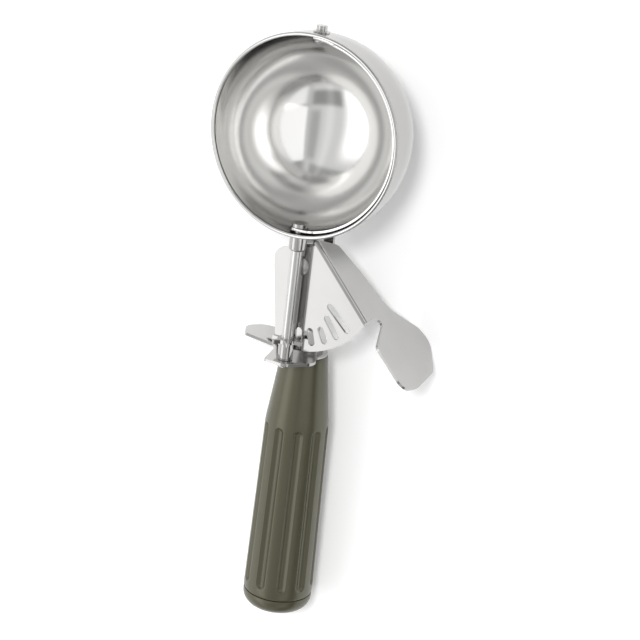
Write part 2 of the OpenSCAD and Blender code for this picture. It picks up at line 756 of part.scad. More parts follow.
module handle_grip() {
    taper = (grip_end_r - grip_shoulder_r) / (cap_y - shoulder_y);
    tilt = atan(-taper);
    top = shoulder_y - flute_start;
    low = cap_y + flute_stop;
    color(grip_grey) difference() {
        turned() polygon([
            [0, cap_y],
            [grip_end_r - 0.6, cap_y],
            [grip_end_r - 0.15, cap_y + 0.45],
            [grip_end_r, cap_y + 1.4],
            // The shoulder eases the long taper into the steeper neck
            for (k = [0:8]) let (t = k / 8, y = shoulder_y + 12 * (t - 0.5),
                on_taper = grip_shoulder_r + taper * (y - shoulder_y),
                on_neck = grip_shoulder_r + (grip_top_r - grip_shoulder_r) * (y - shoulder_y) / grip_neck_len)
                [on_taper * (1 - t * t * (3 - 2 * t)) + on_neck * t * t * (3 - 2 * t), y],
            [grip_top_r, grip_y - 0.3],
            [grip_top_r - 0.3, grip_y],
            [0, grip_y]]);
        // Round-ended flutes, parallel to the taper
        for (i = [0:flute_count - 1])
            translate([0, 0, -handle_drop]) rotate([0, flute_turn + i * 360 / flute_count, 0])
                translate([0, low, grip_shoulder_r + taper * (low - shoulder_y) + flute_r - flute_depth])
                    rotate([-90 - tilt, 0, 0]) capsule((top - low) / cos(tilt), flute_r);
        tang_slot();
        // Socket of the end cap's spigot
        turned() translate([0, cap_y - 1]) square([spigot_r + fit_play, spigot_len + 1 + slide_play]);
    }
}

module handle_end_cap() {
    color(grip_grey) turned() {
        difference() {
            translate([0, cap_y - cap_len]) square([grip_end_r - 0.1, cap_len]);
            // The rounded edge
            translate([grip_end_r - 0.1 - cap_round, cap_y - cap_len]) difference() {
                translate([0, -1]) square([cap_round + 1, cap_round + 1]);
                translate([0, cap_round]) circle(cap_round);
            }
        }
        translate([0, cap_y - 1]) square([spigot_r, spigot_len + 1]);
    }
}

bowl();
top_pivot_pin();
top_pin_washer();
scraper_blade();
blade_nut();
scraper_shaft();
shaft_bushing();
star_pinion();
shaft_washer();
shaft_retaining_ring();
thumb_lever();
lever_pivot_pin();
lever_washer();
pivot_spacer();
return_spring();
frame_upright();
finger_plate();
handle_ferrule();
handle_grip();
handle_end_cap();
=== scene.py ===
# %% [markdown]
# # A lever ice cream scoop
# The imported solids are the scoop's real pieces, at their real size and joined by their real
# joints. This lesson dresses them: it models the polished bowl, the band, the shaft, the spring
# and the moulded grip again as smooth meshes, copies the other pieces with a small bevel, and
# gives each piece its finish. Everything is in metres, in the frame of the solids: the origin is
# the centre of the bowl's sphere, +Z points out of its mouth and the handle runs towards -Y.

# %% Load the solids
import math

import bmesh
import bpy
from mathutils import Matrix, Vector


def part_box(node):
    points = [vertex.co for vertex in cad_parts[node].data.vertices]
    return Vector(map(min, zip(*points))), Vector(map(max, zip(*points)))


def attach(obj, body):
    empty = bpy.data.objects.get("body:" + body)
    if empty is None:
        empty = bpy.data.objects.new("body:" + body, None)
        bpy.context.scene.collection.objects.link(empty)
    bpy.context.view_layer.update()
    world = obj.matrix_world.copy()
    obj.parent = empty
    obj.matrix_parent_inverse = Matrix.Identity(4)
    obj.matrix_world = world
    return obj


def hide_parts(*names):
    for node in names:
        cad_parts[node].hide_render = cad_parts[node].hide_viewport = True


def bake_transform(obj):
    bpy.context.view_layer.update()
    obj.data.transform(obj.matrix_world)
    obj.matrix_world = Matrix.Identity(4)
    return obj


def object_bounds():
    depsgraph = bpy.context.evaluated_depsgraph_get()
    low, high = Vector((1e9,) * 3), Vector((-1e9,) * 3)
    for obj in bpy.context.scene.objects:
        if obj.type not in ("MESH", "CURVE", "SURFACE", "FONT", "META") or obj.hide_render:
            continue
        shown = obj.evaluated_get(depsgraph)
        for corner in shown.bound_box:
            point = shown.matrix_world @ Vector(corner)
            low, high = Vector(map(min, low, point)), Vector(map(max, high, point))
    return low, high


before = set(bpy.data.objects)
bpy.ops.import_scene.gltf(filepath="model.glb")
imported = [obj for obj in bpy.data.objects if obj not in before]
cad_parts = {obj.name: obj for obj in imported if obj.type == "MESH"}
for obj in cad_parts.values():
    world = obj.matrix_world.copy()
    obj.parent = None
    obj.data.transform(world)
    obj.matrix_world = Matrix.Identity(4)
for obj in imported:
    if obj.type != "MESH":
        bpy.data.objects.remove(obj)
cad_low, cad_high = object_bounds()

MM = 0.001
X, Y, Z = 0, 1, 2
cad_box = [round(v / MM, 1) for v in (*cad_low, *cad_high)]
print("solids:", len(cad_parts), "box in mm:", cad_box)

# %% [markdown]
# ## Camera
# The scoop lies on its back, and the camera looks down on it from above its tip and from its
# right side. A long lens keeps the bowl round. The camera is placed by where it stands, what it
# aims at and how it is rolled, so its three axes are worked out here rather than read from a list
# of angles.

# %% Camera
CAMERA_PLACE = Vector((266.49, 142.58, 555.90)) * MM
CAMERA_AIM = Vector((7.63, -69.65, -10.0)) * MM
CAMERA_ROLL = math.radians(6.79)
CAMERA_LENS = 101.25
CAMERA_SENSOR = 36

camera_data = bpy.data.cameras.new("camera")
camera_data.lens = CAMERA_LENS
camera_data.sensor_width = CAMERA_SENSOR
camera = bpy.data.objects.new("camera", camera_data)
bpy.context.collection.objects.link(camera)
bpy.context.scene.camera = camera

back = (CAMERA_PLACE - CAMERA_AIM).normalized()
level_right = Vector((0, 1, 0)).cross(back).normalized()
level_up = back.cross(level_right)
right = math.cos(CAMERA_ROLL) * level_right + math.sin(CAMERA_ROLL) * level_up
up = math.cos(CAMERA_ROLL) * level_up - math.sin(CAMERA_ROLL) * level_right
camera_axes = Matrix((right, up, back)).transposed().to_4x4()
camera.matrix_world = Matrix.Translation(CAMERA_PLACE) @ camera_axes
bpy.context.scene.view_settings.view_transform = "Standard"
print("camera distance in mm:", round((CAMERA_PLACE - CAMERA_AIM).length / MM))

# %% [markdown]
# ## Shader arithmetic
# Every finish below is built from numbers that change over a surface. Linking Math nodes by hand
# hides what the formula is, so a small class stands for one socket, and Python's own operators
# add the nodes.

# %% A socket that can be calculated with
# A Mix node keeps the sockets for colours at these places.
MIX_FACTOR, MIX_FIRST, MIX_SECOND, MIX_RESULT = 0, 6, 7, 2


class Signal:
    """One output socket, on which arithmetic adds Math nodes."""

    def __init__(self, tree, socket):
        self.tree = tree
        self.socket = socket

    def node(self, kind, settings=(), inputs=(), output=0):
        """Adds a node: its settings first, then the values or links of its sockets."""
        made = self.tree.nodes.new(kind)
        for name, value in dict(settings).items():
            setattr(made, name, value)
        for name, value in dict(inputs).items():
            if isinstance(value, Signal):
                self.tree.links.new(value.socket, made.inputs[name])
            else:
                made.inputs[name].default_value = value
        return Signal(self.tree, made.outputs[output])

    def math(self, operation, *others):
        return self.node("ShaderNodeMath", {"operation": operation}, enumerate((self, *others)))

    def __add__(self, other):
        return self.math("ADD", other)

    def __mul__(self, other):
        return self.math("MULTIPLY", other)

    def __sub__(self, other):
        return self.math("SUBTRACT", other)

    def __rsub__(self, other):
        return self.node("ShaderNodeMath", {"operation": "SUBTRACT"}, {0: other, 1: self})

    __radd__ = __add__
    __rmul__ = __mul__

    def smooth(self, low, high):
        """Rises softly from 0 at low to 1 at high."""
        limits = {"Value": self, "From Min": low, "From Max": high}
        return self.node("ShaderNodeMapRange", {"interpolation_type": "SMOOTHSTEP"}, limits)

    def span(self, rise, fall):
        """Rises over the first pair of values and falls over the second. None leaves that out."""
        mask = self.smooth(*rise) if rise else 1.0
        return mask * (1 - self.smooth(*fall)) if fall else mask

    def part(self, axis):
        """One coordinate of a vector."""
        return self.node("ShaderNodeSeparateXYZ", (), {"Vector": self}, axis)

    def stretched(self, x, y, z):
        """The same vector at another scale along each axis."""
        factors = {0: self, 1: (x, y, z)}
        return self.node("ShaderNodeVectorMath", {"operation": "MULTIPLY"}, factors)

    def noise(self, size, detail):
        """Clouds of about this size, in metres, between 0 and 1."""
        inputs = {"Vector": self, "Scale": 1 / size, "Detail": detail}
        return self.node("ShaderNodeTexNoise", (), inputs, "Fac")

    def blend(self, first, second):
        """The first colour where this is 0, the second where it is 1."""
        first, second = (c if isinstance(c, Signal) else (*c, 1) for c in (first, second))
        inputs = {MIX_FACTOR: self, MIX_FIRST: first, MIX_SECOND: second}
        return self.node("ShaderNodeMix", {"data_type": "RGBA"}, inputs, MIX_RESULT)

    def feed(self, socket):
        self.tree.links.new(self.socket, socket)


# %% [markdown]
# ## The room
# Polished steel shows what stands round it, so the room matters more here than the strength of
# the lamps. It could be built from cards and lamps. It is painted on the world by direction
# instead, because an area can then be put at the angle where the steel mirrors it. Sideways is
# the angle from straight up towards +X, and lengthways the angle towards +Y, both in degrees.

# %% Directions
world = bpy.data.worlds.new("studio")
bpy.context.scene.world = world
world.use_nodes = True
world_tree = world.node_tree
background = world_tree.nodes["Background"]
background.inputs["Color"].default_value = (1, 1, 1, 1)

direction = Signal(world_tree, world_tree.nodes.new("ShaderNodeTexCoord").outputs["Generated"])
height = direction.part(Z)
degrees = 180 / math.pi
sideways = direction.part(X).math("ARCTAN2", height) * degrees
lengthways = direction.part(Y).math("ARCTAN2", height) * degrees
camera_angles = [round(math.degrees(math.atan2(part, back.z)), 1) for part in (back.x, back.y)]
print("the camera stands at sideways and lengthways", camera_angles)

# %% [markdown]
# A large soft light fills the left, with a lower part that the lever's plate mirrors and a pale
# wall behind it. The middle is grey with one lighter strip, and the right side is darker. Two
# dark ends, one above the handle and one beyond the tip, mark both ends of the bowl's bright
# middle. A light patch carries the right softbox on towards the handle, and stands too far off
# for the grip to mirror it. The dark bar lies in the camera's own direction: light that bounces
# twice in the bowl goes back the way it came, so the bar draws the dark rings near the rim. The
# shade at the horizon only darkens the wall just under the rim. Below the horizon the room is one
# pale tone.

# %% Painted room
ROOM = 0.70
# Each area: what it adds, the angles over which it rises and falls sideways, and then lengthways.
AREAS = {
    "left light": (1.20, (-54, -46), (-30, -8), (-46, -24), (12, 46)),
    "lower light": (0.70, (-38, -30), (-20, -12), (-59, -45), (-39, -25)),
    "strip": (0.13, (-4, 4), (5, 13), None, None),
    "left wall": (0.60, None, (-66, -58), None, None),
    "right side": (-0.38, (24, 38), None, None, None),
    "right wall": (-0.20, (68, 80), None, None, None),
    "handle end": (-0.40, (-14, -8), (24, 30), (-46, -40), (-27, -21)),
    "tip end": (-0.34, (-48, -40), (18, 26), (45, 51), (67, 73)),
    "dark bar": (-0.27, (13, 19), (24, 30), (-24, -12), (38, 50)),
    "right patch": (0.66, (30, 38), (60, 68), (-55, -49), (-29, -23)),
}
HORIZON_SHADE = 0.45
HORIZON_HEIGHTS = (0.08, 0.30)
BELOW = 0.90
BELOW_HEIGHTS = (-0.02, 0.0)

room = ROOM
for level, side_rise, side_fall, length_rise, length_fall in AREAS.values():
    area = sideways.span(side_rise, side_fall) * lengthways.span(length_rise, length_fall)
    room = room + area * level
horizon = 1 - height.smooth(*HORIZON_HEIGHTS)
above = height.smooth(*BELOW_HEIGHTS)
room = room * (1 - horizon * HORIZON_SHADE) * above + (1 - above) * BELOW
room.feed(background.inputs["Strength"])
print("areas painted on the room:", ", ".join(AREAS))

# %% [markdown]
# ## Lamps
# The softbox on the right stands close by, beside the bowl. Seen from the handle it lies towards
# the tip. It is only there to be mirrored by the steel, so it is left out of the plain light, and
# the handle's right side stays in shade.


# %% Right softbox
def softbox(name, sideways_deg, low_deg, high_deg, width_deg, radiance, away):
    """An area lamp beside the scoop, given by the angles at which the bowl's centre sees it."""
    rise = away * math.cos(math.radians(sideways_deg))
    low, high = (rise * math.tan(math.radians(angle)) for angle in (low_deg, high_deg))
    lamp = bpy.data.lights.new(name, "AREA")
    lamp.shape = "RECTANGLE"
    lamp.size = 2 * away * math.tan(math.radians(width_deg / 2))
    lamp.size_y = high - low
    lamp.energy = radiance * math.pi * lamp.size * lamp.size_y
    box = bpy.data.objects.new(name, lamp)
    bpy.context.collection.objects.link(box)
    middle = Matrix.Translation((0, (low + high) / 2, 0))
    turn = Matrix.Rotation(math.radians(sideways_deg), 4, "Y")
    box.matrix_world = middle @ turn @ Matrix.Translation((0, 0, away))
    box.visible_camera = False
    box.visible_diffuse = False
    print(name, "of", round(lamp.size, 2), "by", round(lamp.size_y, 2), "m")


softbox(
    "softbox_right",
    sideways_deg=53,
    low_deg=-33,
    high_deg=60,
    width_deg=42,
    radiance=0.80,
    away=0.46,
)

# %% [markdown]
# A round lamp beside the camera, a little to its left and above, sets the scoop off with a narrow
# shadow along its right edge. The steel would show it as a hot spot, so it is left out of the
# reflections.

# %% Key lamp
KEY_AWAY = 1.5
KEY_WIDTH = 0.30
KEY_LEVEL = 0.46
KEY_LEFT = 0.16
KEY_ABOVE = 0.10
key_way = (back - KEY_LEFT * right + KEY_ABOVE * up).normalized()
key_light = bpy.data.lights.new("key", "AREA")
key_light.shape = "DISK"
key_light.size = KEY_WIDTH
key_light.energy = KEY_LEVEL * math.pi**2 * KEY_AWAY**2
key_lamp = bpy.data.objects.new("key", key_light)
bpy.context.collection.objects.link(key_lamp)
key_turn = key_way.to_track_quat("Z", "Y").to_matrix().to_4x4()
key_lamp.matrix_world = Matrix.Translation(CAMERA_AIM + key_way * KEY_AWAY) @ key_turn
key_lamp.visible_camera = False
key_lamp.visible_glossy = False
print("key lamp of", round(key_light.energy, 1), "W")

# %% [markdown]
# ## Floor
# The scoop lies on white paper. It rests on its bowl, its thumb pad and the end of its handle, so
# the paper is a plane through those three, slightly tilted against the frame of the solids. More
# light would make the paper white but also wash out the steel. Instead the paper glows a little
# for rays from the camera or from a mirror, which leaves the light on the scoop and its shadow as
# they are.

# %% Floor
FLOOR_NORMAL = Vector((0.0978758, 0.0328593, 0.9946560))
FLOOR_DEPTH = -36.0995 * MM
FLOOR_SIZE = 12
FLOOR_GLOW = 0.20
PAPER = 0.92
bpy.ops.object.select_all(action="DESELECT")
bpy.ops.mesh.primitive_plane_add(
    size=FLOOR_SIZE,
    location=FLOOR_NORMAL * FLOOR_DEPTH,
    rotation=FLOOR_NORMAL.to_track_quat("Z", "Y").to_euler(),
)
floor = bpy.context.active_object
floor.name = "floor"

paper = bpy.data.materials.new("white_paper")
paper.use_nodes = True
paper_tree = paper.node_tree
paper_shader = paper_tree.nodes["Principled BSDF"]
paper_shader.inputs["Base Color"].default_value = (PAPER, PAPER, PAPER, 1)
paper_shader.inputs["Roughness"].default_value = 1.0
paper_shader.inputs["Specular IOR Level"].default_value = 0.0
paper_shader.inputs["Emission Color"].default_value = (1, 1, 1, 1)
ray = paper_tree.nodes.new("ShaderNodeLightPath").outputs
ray_kinds = ("Is Camera Ray", "Is Glossy Ray", "Is Transmission Ray")
camera_ray, glossy_ray, transmission_ray = (Signal(paper_tree, ray[kind]) for kind in ray_kinds)
seen = (camera_ray + glossy_ray + transmission_ray).math("MINIMUM", 1.0)
(seen * FLOOR_GLOW).feed(paper_shader.inputs["Emission Strength"])
floor.data.materials.append(paper)
print("floor below the bowl's centre in mm:", round(-FLOOR_DEPTH / MM, 1))

# %% [markdown]
# ## Finishes
# Seven finishes cover the scoop. Steel is a metallic surface, so its look is its colour, how
# blurred its mirror image is, and the small marks of polishing. Fine waves in the surface bend
# the reflections as real polished sheet does.


# %% Helpers for finishes
def new_finish(name, constants):
    """A material, its shader, and the place on the piece in metres."""
    material = bpy.data.materials.new(name)
    material.use_nodes = True
    tree = material.node_tree
    shader = tree.nodes["Principled BSDF"]
    for socket, value in constants.items():
        shader.inputs[socket].default_value = value
    place = Signal(tree, tree.nodes.new("ShaderNodeTexCoord").outputs["Object"])
    print("finish:", name)
    return material, shader, place


def relief(height, depth, shader):
    """Bends the surface's normal by a height between 0 and 1, times this depth in metres."""
    inputs = {"Strength": 1.0, "Distance": depth, "Height": height}
    height.node("ShaderNodeBump", (), inputs).feed(shader.inputs["Normal"])


# %% [markdown]
# ### Spun and polished bowl steel
# A bowl is polished while it spins, which leaves rings round its axis that only show as a slight
# blur. The rings are noise on the angle from the bowl's bottom, with hardly any change round it.
# The inside is mirror bright. The outside is only buffed, so it mirrors less sharply, and its
# colour is painted far darker than the inside's: painted shade for the shaded paper that it
# mirrors. A mask finds the outside by its distance from the bowl's centre.

# %% Bowl steel
WALL_MIDDLE = 35.7 * MM
WALL_EDGE = 0.25 * MM
RINGS_RADIUS = 36 * MM
RINGS_STRETCH = 0.02
bowl_steel, shader, place = new_finish("bowl_steel", {"Metallic": 1.0})
below = place.part(Z).math("MINIMUM", 0.0)
around = place.part(X) * place.part(X) + place.part(Y) * place.part(Y)
from_centre = (around + below * below).math("SQRT")
outside = from_centre.smooth(WALL_MIDDLE - WALL_EDGE, WALL_MIDDLE + WALL_EDGE)

fall = around.math("SQRT").math("ARCTAN2", 0 - place.part(Z)) * RINGS_RADIUS
rings_place = {"X": fall, "Y": place.part(X) * RINGS_STRETCH, "Z": place.part(Y) * RINGS_STRETCH}
polish = fall.node("ShaderNodeCombineXYZ", (), rings_place).noise(1.2 * MM, 4)
cloud = place.noise(18 * MM, 2)
mirror_steel = cloud.blend((0.83, 0.825, 0.813), (0.87, 0.865, 0.853))
# Painted shade: the outside is coloured far darker than the inside, for the shaded paper it
# mirrors.
outside.blend(mirror_steel, (0.47, 0.465, 0.46)).feed(shader.inputs["Base Color"])
(0.10 + polish * 0.05 + outside * 0.06).feed(shader.inputs["Roughness"])
relief(polish, 0.0012 * MM, shader)

# %% [markdown]
# ### Scraper band
# The band's inside and edges are polished like the bowl. Its back, which hardly shows, is left
# dull as it came from the press, and is coloured almost black: painted shade for the narrow gap
# between the band and the bowl's wall. A mask finds the back by its distance from the bowl's
# centre.

# %% Band steel
BAND_BACK = 34.77 * MM
BACK_EDGE = 0.03 * MM
band_steel, shader, place = new_finish("band_steel", {"Metallic": 1.0})
across = place.part(X) * place.part(X) + place.part(Y) * place.part(Y)
from_centre = (across + place.part(Z) * place.part(Z)).math("SQRT")
dull_back_and_painted_shade = from_centre.smooth(BAND_BACK - BACK_EDGE, BAND_BACK + BACK_EDGE)
brushed = place.noise(0.8 * MM, 3)
# Painted shade: the back is coloured almost black for the shade in the gap next to the bowl's
# wall.
dull_back_and_painted_shade.blend((0.76, 0.755, 0.745), (0.16, 0.155, 0.15)).feed(shader.inputs["Base Color"])
(0.09 + brushed * 0.05 + dull_back_and_painted_shade * 0.30).feed(shader.inputs["Roughness"])
relief(brushed, 0.001 * MM, shader)

# %% [markdown]
# ### Bright plated sheet
# The lever, the finger plate and the upright are pressed from sheet and plated. Plating is bright
# but follows the rolled sheet beneath, so it carries faint long marks and a few softer clouds
# where it was handled.

# %% Plated steel
plated_steel, shader, place = new_finish("plated_steel", {"Metallic": 1.0})
marks = place.stretched(1, 0.05, 1).noise(0.5 * MM, 3)
handled = place.noise(12 * MM, 3)
handled.blend((0.45, 0.446, 0.438), (0.50, 0.495, 0.487)).feed(shader.inputs["Base Color"])
(0.07 + marks * 0.04 + handled * 0.05).feed(shader.inputs["Roughness"])
relief(marks, 0.0004 * MM, shader)

# %% [markdown]
# ### Drawn bar
# The shaft is a drawn bar. The draw leaves fine lengthways lines, so it mirrors less sharply than
# the sheet does, and shows one broad light band.

# %% Drawn bar
drawn_bar, shader, place = new_finish("drawn_bar", {"Metallic": 1.0})
lines = place.stretched(1, 0.02, 1).noise(0.3 * MM, 3)
lines.blend((0.60, 0.595, 0.585), (0.70, 0.695, 0.685)).feed(shader.inputs["Base Color"])
(0.20 + lines * 0.10).feed(shader.inputs["Roughness"])
relief(lines, 0.001 * MM, shader)

# %% [markdown]
# ### Small fasteners and the spring
# Rivets, washers, the nut and the retaining ring are tumbled in a drum after they are cut, which
# leaves a fine satin skin. Drawing its scratches one by one would not show at this size, so fine
# noise varies the colour, the blur and the height. The spring's hard drawn wire is a little
# darker, and it is so thin that waves in its surface would not show, so it has none.

# %% Rivet steel
rivet_steel, shader, place = new_finish("rivet_steel", {"Metallic": 1.0})
tumbled = place.noise(0.4 * MM, 3)
tumbled.blend((0.48, 0.475, 0.465), (0.58, 0.575, 0.565)).feed(shader.inputs["Base Color"])
(0.16 + tumbled * 0.14).feed(shader.inputs["Roughness"])
relief(tumbled, 0.003 * MM, shader)

# %% Spring wire
spring_wire, shader, place = new_finish("spring_wire", {"Metallic": 1.0})
drawn = place.noise(0.6 * MM, 3)
drawn.blend((0.42, 0.415, 0.405), (0.54, 0.535, 0.525)).feed(shader.inputs["Base Color"])
(0.20 + drawn * 0.12).feed(shader.inputs["Roughness"])

# %% [markdown]
# ### Moulded grip
# The grip is an olive grey plastic from a lightly grained mould. Its sheen is broad, so the
# flutes read as soft dark and light bands. The grain is a fraction of a millimetre, and slow
# clouds vary the sheen where a hand rubs.

# %% Grip plastic
GRIP_SHEEN = {"Specular IOR Level": 1.0, "Specular Tint": (1.0, 0.98, 0.80, 1)}
grip_plastic, shader, place = new_finish("grip_plastic", GRIP_SHEEN)
grain = place.noise(0.35 * MM, 2)
rubbed = place.stretched(1, 0.4, 1).noise(14 * MM, 3)
worn = rubbed * 0.7 + grain * 0.3
worn.blend((0.040, 0.038, 0.020), (0.056, 0.053, 0.030)).feed(shader.inputs["Base Color"])
(0.24 + rubbed * 0.08 + grain * 0.05).feed(shader.inputs["Roughness"])
relief(grain, 0.008 * MM, shader)

finishes = {
    "bowl_steel": bowl_steel,
    "plated_steel": plated_steel,
    "rivet_steel": rivet_steel,
    "spring_wire": spring_wire,
    "grip_plastic": grip_plastic,
}
print("slots with a finish of their own name:", ", ".join(finishes))

# %% [markdown]
# ## Modelling helpers
# A turned piece is made as on a lathe: a circle is extruded ring by ring along the axis and each
# ring is resized. A copy of a solid is merged, its flat triangles are dissolved, and its edges
# get a small bevel, because no real sheet has an edge without a highlight. The modifier narrows
# the bevel of a whole piece where any of its points lie close together, so that no faces cross.


# %% Starting and finishing a piece
def start(primitive, name, **settings):
    """Adds a primitive with nothing else selected."""
    bpy.ops.object.select_all(action="DESELECT")
    primitive(**settings)
    piece = bpy.context.active_object
    piece.name = name
    piece.data.name = name
    bpy.ops.object.transform_apply(location=True, rotation=True, scale=True)
    return piece


def apply_modifier(piece, kind, **settings):
    """Adds a modifier and applies it at once."""
    bpy.context.view_layer.objects.active = piece
    modifier = piece.modifiers.new(kind.lower(), kind)
    for name, value in settings.items():
        setattr(modifier, name, value)
    bpy.ops.object.modifier_apply(modifier=modifier.name)


def smooth(piece, angle_deg):
    """Shades the piece smooth, apart from edges sharper than this angle."""
    bpy.ops.object.select_all(action="DESELECT")
    piece.select_set(True)
    bpy.context.view_layer.objects.active = piece
    bpy.ops.object.shade_smooth_by_angle(angle=math.radians(angle_deg))


def dress(piece, body, slot_name, node, finish=None):
    """Gives the piece its finish and its body, in place of this solid."""
    piece.data.materials.clear()
    piece.data.materials.append(finish or finishes[slot_name])
    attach(piece, body)
    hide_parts(node)
    print(piece.name, "rides on", body, "with", len(piece.data.polygons), "faces")


# %% Turned pieces
def select_loop(piece, test):
    """Selects only the edges whose two ends both pass the test."""
    bpy.ops.mesh.select_all(action="DESELECT")
    mesh = bmesh.from_edit_mesh(piece.data)
    for edge in mesh.edges:
        edge.select_set(all(test(v.co) for v in edge.verts))
    bmesh.update_edit_mesh(piece.data)


def turned(name, profile, columns, along=Y, centre=(0, 0, 0)):
    """Extrudes a circle along Y or Z through rings of [radius, place], in millimetres."""
    axis = Vector([1.0 if k == along else 0.0 for k in range(3)])
    middle = Vector(centre) * MM
    (radius, place), *rings = profile
    piece = start(
        bpy.ops.mesh.primitive_circle_add,
        name,
        vertices=columns,
        radius=radius * MM,
        fill_type="TRIFAN",
        location=middle + axis * place * MM,
        rotation=(math.radians(-90), 0, 0) if along == Y else (0, 0, 0),
    )
    bpy.ops.object.mode_set(mode="EDIT")
    bpy.ops.mesh.select_mode(type="EDGE")
    half = radius * MM / 2
    select_loop(piece, lambda co: ((co - middle) - axis * (co - middle).dot(axis)).length > half)
    for next_radius, next_place in rings:
        step = axis * (next_place - place) * MM
        bpy.ops.mesh.extrude_region_move(TRANSFORM_OT_translate={"value": step})
        if next_radius == 0:
            bpy.ops.mesh.merge(type="CENTER")
            break
        ratio = next_radius / radius
        value = [1.0 if k == along else ratio for k in range(3)]
        bpy.ops.transform.resize(value=value, center_override=middle + axis * next_place * MM)
        radius, place = next_radius, next_place
    else:
        bpy.ops.mesh.edge_face_add()
    bpy.ops.mesh.select_all(action="SELECT")
    bpy.ops.mesh.normals_make_consistent(inside=False)
    bpy.ops.object.mode_set(mode="OBJECT")
    return piece


# %% Copies of the solids
MERGE_WITHIN = 0.002
FLAT_WITHIN_DEG = 0.5
SHARP_FROM_DEG = 35


def rounded_copy(node, body, slot_name, edge_mm):
    """A merged copy of a solid with a small bevel on its sharp edges, in place of that solid."""
    bpy.ops.object.select_all(action="DESELECT")
    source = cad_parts[node]
    piece = bpy.data.objects.new(node + "_finished", source.data.copy())
    bpy.context.collection.objects.link(piece)
    piece.matrix_world = source.matrix_world.copy()
    piece.select_set(True)
    bpy.context.view_layer.objects.active = piece
    bpy.ops.object.mode_set(mode="EDIT")
    bpy.ops.mesh.select_all(action="SELECT")
    bpy.ops.mesh.remove_doubles(threshold=MERGE_WITHIN * MM)
    bpy.ops.mesh.dissolve_limited(angle_limit=math.radians(FLAT_WITHIN_DEG))
    bpy.ops.object.mode_set(mode="OBJECT")
    smooth(piece, SHARP_FROM_DEG)
    apply_modifier(
        piece,
        "BEVEL",
        width=edge_mm * MM,
        segments=2,
        limit_method="ANGLE",
        angle_limit=math.radians(SHARP_FROM_DEG),
        harden_normals=True,
        use_clamp_overlap=True,
    )
    apply_modifier(piece, "WEIGHTED_NORMAL", keep_sharp=True, weight=50)
    dress(piece, body, slot_name, node)


# %% [markdown]
# ## The bowl
# The bowl is one spun sheet: a half sphere, a short straight skirt, and a bead rolled round its
# edge. Half a sphere with a thickness would give the wall but no bead, so the whole section is
# extruded in fine rings, from its bottom up the outside, round the bead and down the inside. That
# makes one closed wall with no seam. It mirrors everything, so the rings are fine enough to hide
# every facet.

# %% Bowl
BOWL_INSIDE = 35.3
BOWL_WALL = 0.8
SKIRT_RINGS = (1.2, 3.0, 4.6)
SKIRT_TOP = 6.1
BEAD = 0.65
BEAD_STEPS = 20
BOWL_COLUMNS = 224
QUARTER_RINGS = 72

bowl_outside = BOWL_INSIDE + BOWL_WALL
bead_middle = BOWL_INSIDE + BOWL_WALL / 2
bead_start = math.atan2(-math.sqrt(BEAD**2 - (BOWL_WALL / 2) ** 2), BOWL_WALL / 2)
bead_turn = math.pi - 2 * bead_start


def quarter(radius, first, last):
    """Rings of a sphere between two angles from its bottom, in steps of the quarter's rings."""
    step = 1 if last > first else -1
    angles = [k * math.pi / 2 / QUARTER_RINGS for k in range(first, last + step, step)]
    return [[radius * math.sin(a), -radius * math.cos(a)] for a in angles]


bead_arc = [bead_start + bead_turn * k / BEAD_STEPS for k in range(BEAD_STEPS + 1)]
bowl_profile = [
    *quarter(bowl_outside, 1, QUARTER_RINGS),
    *[[bowl_outside, z] for z in SKIRT_RINGS],
    *[[bead_middle + BEAD * math.cos(a), SKIRT_TOP + BEAD * math.sin(a)] for a in bead_arc],
    *[[BOWL_INSIDE, z] for z in reversed(SKIRT_RINGS)],
    *quarter(BOWL_INSIDE, QUARTER_RINGS, 1),
    [0, -BOWL_INSIDE],
]
bowl = turned("bowl_shell", bowl_profile, BOWL_COLUMNS, along=Z)
smooth(bowl, angle_deg=50)
dress(bowl, "frame", "bowl_steel", "bowl")

# %% [markdown]
# ## The scraper band
# The band is a strip of sheet that follows the bowl half way round and narrows to a round tab
# over each end of its axis. A flat strip could be bent to the bowl, but its curve would be
# uneven. It is cut from a sphere by flat cuts instead, as shears would trim it, and then given
# its thickness.

# %% Scraper band
BAND_OUT = 34.8
BAND_T = 0.9
BAND_HALF = 5.0
BAND_EDGE = 0.12
TAB = 3.3
TAB_WIDENS = 9.0
TAB_CUTS = 17

band = start(
    bpy.ops.mesh.primitive_uv_sphere_add,
    "scraper_band",
    segments=288,
    ring_count=144,
    radius=BAND_OUT * MM,
)
slant = math.degrees(math.atan2(BAND_HALF - TAB, TAB_WIDENS))
cuts = [(90, BAND_HALF), (270, BAND_HALF)]
for k in range(TAB_CUTS):
    cuts.append((90 + slant + k * (180 - 2 * slant) / (TAB_CUTS - 1), TAB))
bpy.ops.object.mode_set(mode="EDIT")
for angle, reach in cuts:
    outwards = Vector((math.cos(math.radians(angle)), 0, math.sin(math.radians(angle))))
    bpy.ops.mesh.select_all(action="SELECT")
    bpy.ops.mesh.bisect(plane_co=outwards * reach * MM, plane_no=outwards, clear_outer=True)
bpy.ops.object.mode_set(mode="OBJECT")
print("cuts round the band:", len(cuts))

# %% Thickness and edges of the band
apply_modifier(band, "SOLIDIFY", thickness=BAND_T * MM, offset=-1)
apply_modifier(
    band,
    "BEVEL",
    width=BAND_EDGE * MM,
    segments=2,
    limit_method="ANGLE",
    angle_limit=math.radians(50),
    harden_normals=False,
)
smooth(band, angle_deg=40)
dress(band, "scraper", "bowl_steel", "scraper_blade", finish=band_steel)

# %% [markdown]
# ## The shaft
# The shaft is a turned bar. It is thinner where it runs in the bushing, has a groove for its
# retaining ring under the finger plate, and a small chamfer at its lower end. Cutting those from
# a plain bar takes a cut for each, so the bar is turned from its section, which has them all.

